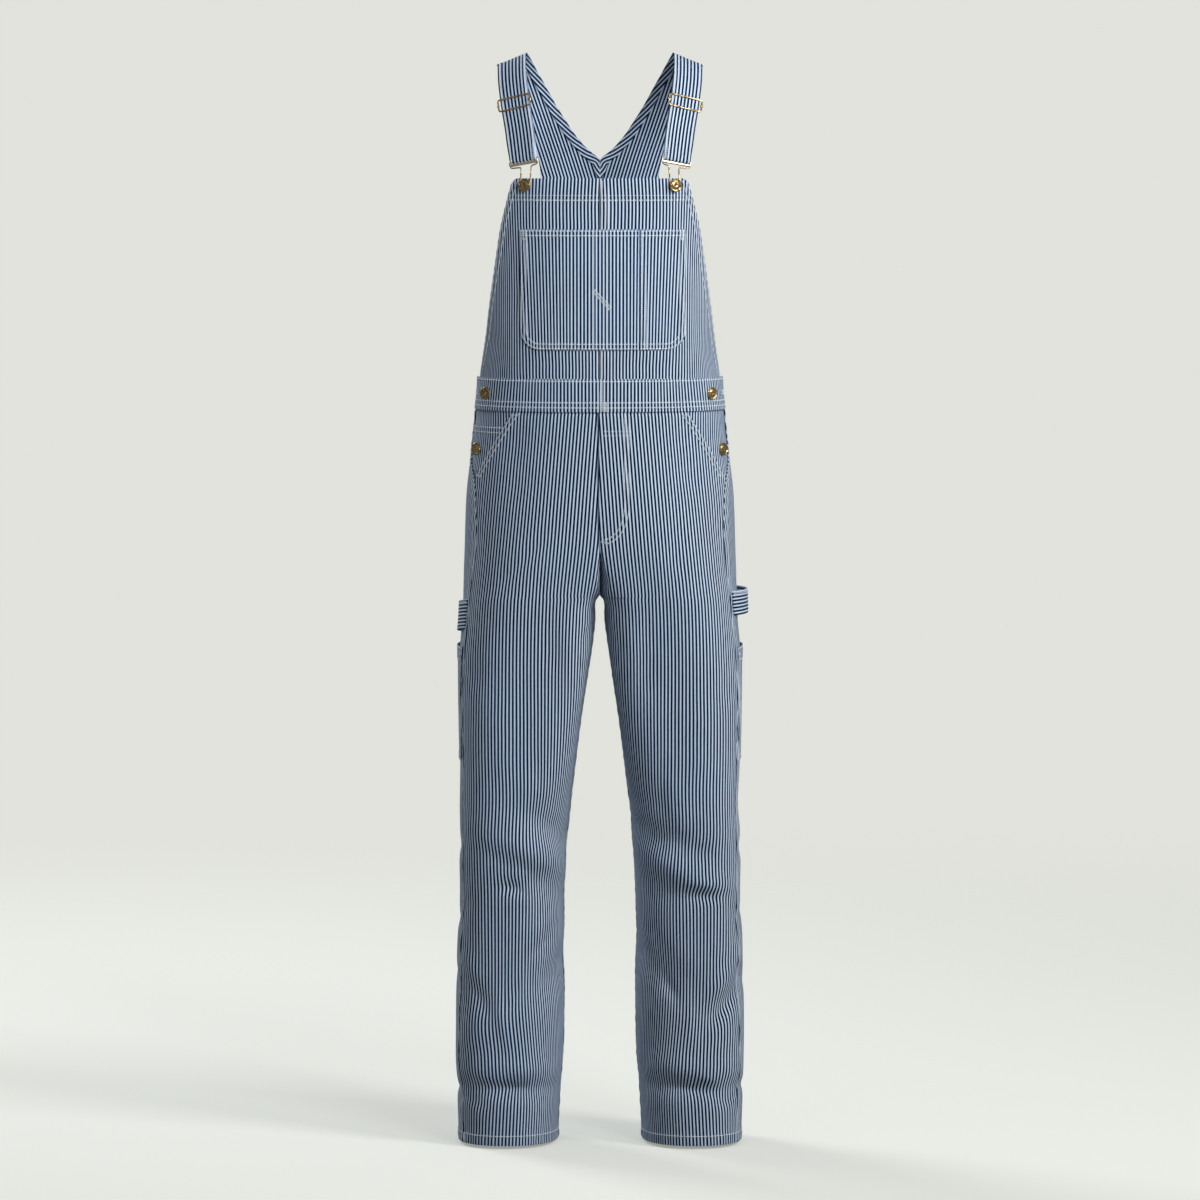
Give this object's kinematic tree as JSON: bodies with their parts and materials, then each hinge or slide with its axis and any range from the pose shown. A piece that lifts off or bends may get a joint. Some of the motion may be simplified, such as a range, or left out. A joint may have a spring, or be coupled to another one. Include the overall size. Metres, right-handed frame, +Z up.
{
  "type": "dungarees",
  "caption": "Striped cotton bib dungarees, hollow as worn, with straps on brass hooks, a bib pocket, slanted hip pockets, tool pockets and hammer loops.",
  "frame": {"origin": "midway between the tops of the shoulders, where the straps cross them and the wearer holds the garment", "axes": "+Z up, -Y the front, +X the wearer's left"},
  "size_m": [0.412, 0.258, 1.527],
  "materials": {
    "striped_cotton": "matt twill, stripes of dark indigo and pale blue",
    "striped_patch": "the same striped twill, on pockets, bands and facings",
    "aged_brass": "worn brass"
  },
  "bodies": {
    "root": {"bib_left": "striped_cotton", "bib_right": "striped_cotton", "front_hip_left": "striped_cotton", "front_hip_right": "striped_cotton", "front_knee_left": "striped_cotton", "front_knee_right": "striped_cotton", "front_shin_left": "striped_cotton", "front_shin_right": "striped_cotton", "back_hip_left": "striped_cotton", "back_hip_right": "striped_cotton", "back_knee_left": "striped_cotton", "back_knee_right": "striped_cotton", "back_shin_left": "striped_cotton", "back_shin_right": "striped_cotton", "back_panel_left": "striped_cotton", "back_panel_right": "striped_cotton", "strap_left": "striped_cotton", "strap_right": "striped_cotton", "bib_pocket": "striped_patch", "pencil_pocket": "striped_patch", "coin_pocket": "striped_patch", "waistband_left": "striped_patch", "waistband_right": "striped_patch", "hip_facing_left": "striped_patch", "hip_facing_right": "striped_patch", "neck_facing_left": "striped_patch", "neck_facing_right": "striped_patch", "tool_pocket_left": "striped_patch", "tool_pocket_right": "striped_patch", "hammer_loop_left": "striped_patch", "hammer_loop_right": "striped_patch", "slider_left": "aged_brass", "slider_right": "aged_brass", "hook_left": "aged_brass", "hook_right": "aged_brass", "bib_button_left": "aged_brass", "bib_button_right": "aged_brass", "waist_button_left": "aged_brass", "waist_button_right": "aged_brass", "hip_button_left": "aged_brass", "hip_button_right": "aged_brass"}
  },
  "joints": []
}
